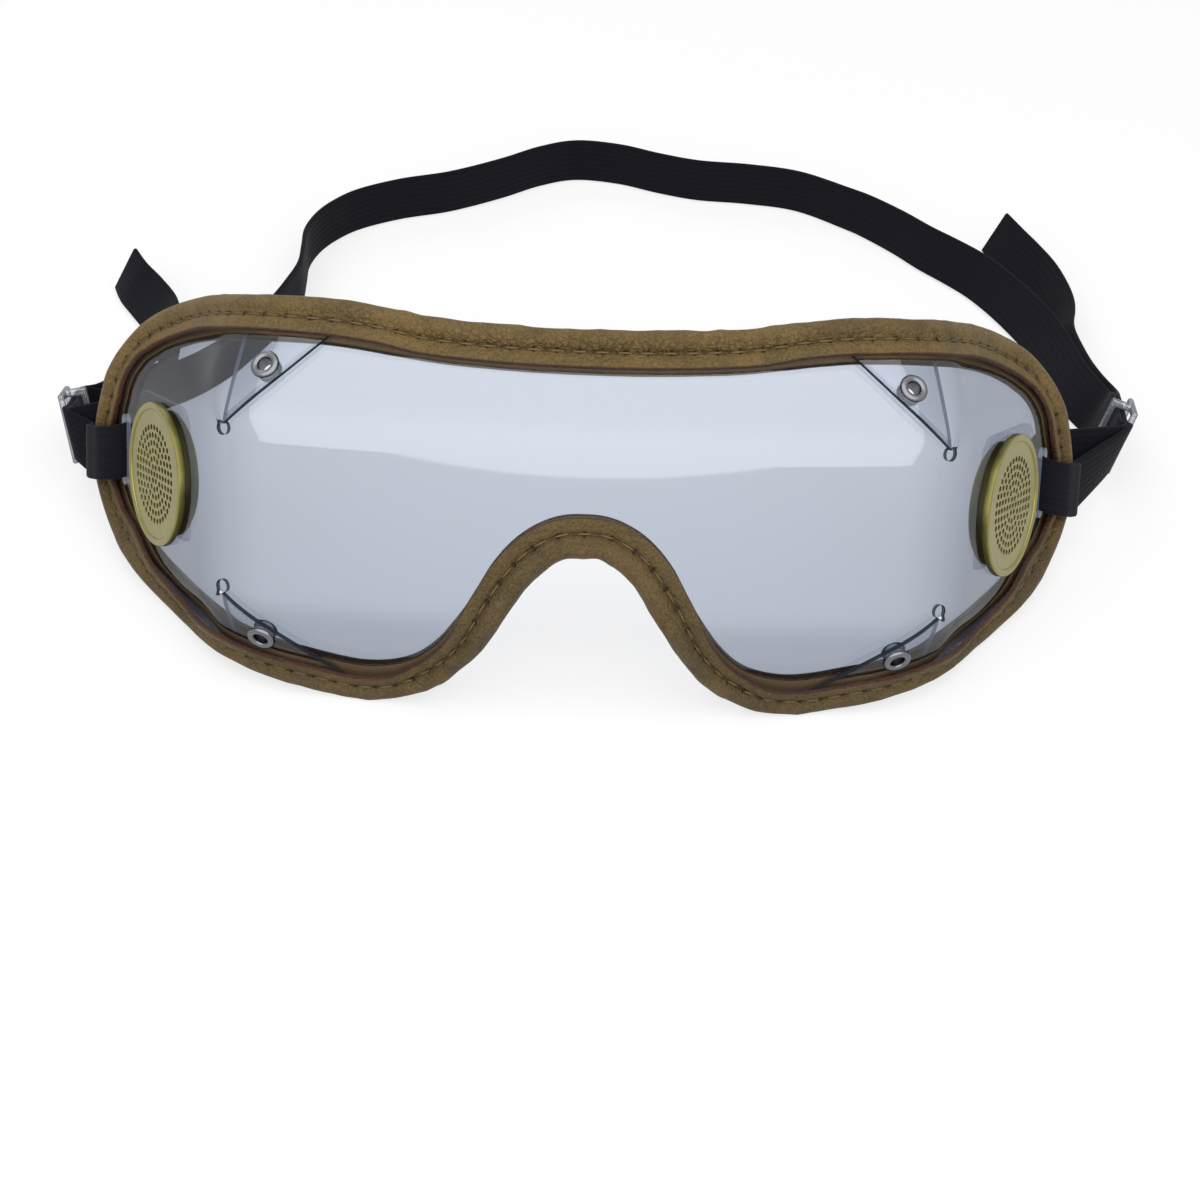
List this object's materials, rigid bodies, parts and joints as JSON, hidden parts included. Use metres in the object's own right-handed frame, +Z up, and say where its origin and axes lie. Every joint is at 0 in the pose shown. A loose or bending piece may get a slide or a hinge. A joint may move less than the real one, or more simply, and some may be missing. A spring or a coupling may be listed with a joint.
{
  "type": "racing goggles",
  "caption": "Racing goggles with a folded clear sheet lens, leather bound and padded rim, perforated brass side vents and an adjustable elastic head strap.",
  "frame": {"origin": "centre of the footprint, at table height", "axes": "+Z up; +X to the right for someone looking at the front of the goggles; the lens faces -Y and the strap lies behind it, towards +Y"},
  "size_m": [0.1964, 0.1756, 0.0586],
  "materials": {
    "clear_sheet": "clear polished sheet",
    "tan_leather": "grained, aniline dyed",
    "grey_foam": "matte",
    "lacquered_brass": "satin lacquer",
    "nickel_plate": "bright",
    "black_elastic": "woven matte",
    "clear_nylon": "moulded, translucent"
  },
  "bodies": {
    "goggles": {"lens": "clear_sheet", "binding_upper": "tan_leather", "binding_lower": "tan_leather", "foam_upper": "grey_foam", "foam_lower": "grey_foam", "eyelet_upper_left": "nickel_plate", "eyelet_upper_right": "nickel_plate", "eyelet_lower_left": "nickel_plate", "eyelet_lower_right": "nickel_plate", "vent_cap_left": "lacquered_brass", "vent_cap_right": "lacquered_brass", "vent_ring_left": "lacquered_brass", "vent_ring_right": "lacquered_brass", "vent_patch_left": "clear_sheet", "vent_patch_right": "clear_sheet", "elastic_strap": "black_elastic"},
    "slide_left": {"adjuster_left": "clear_nylon"},
    "slide_right": {"adjuster_right": "clear_nylon"}
  },
  "joints": [
    {"name": "left_adjuster_slide", "type": "slide", "parent": "goggles", "child": "slide_left", "axis": [-0.0482, 0.9194, -0.3903], "range_m": [-0.002, 0.002]},
    {"name": "right_adjuster_slide", "type": "slide", "parent": "goggles", "child": "slide_right", "axis": [0.0842, 0.9625, -0.2579], "range_m": [-0.002, 0.002]}
  ]
}
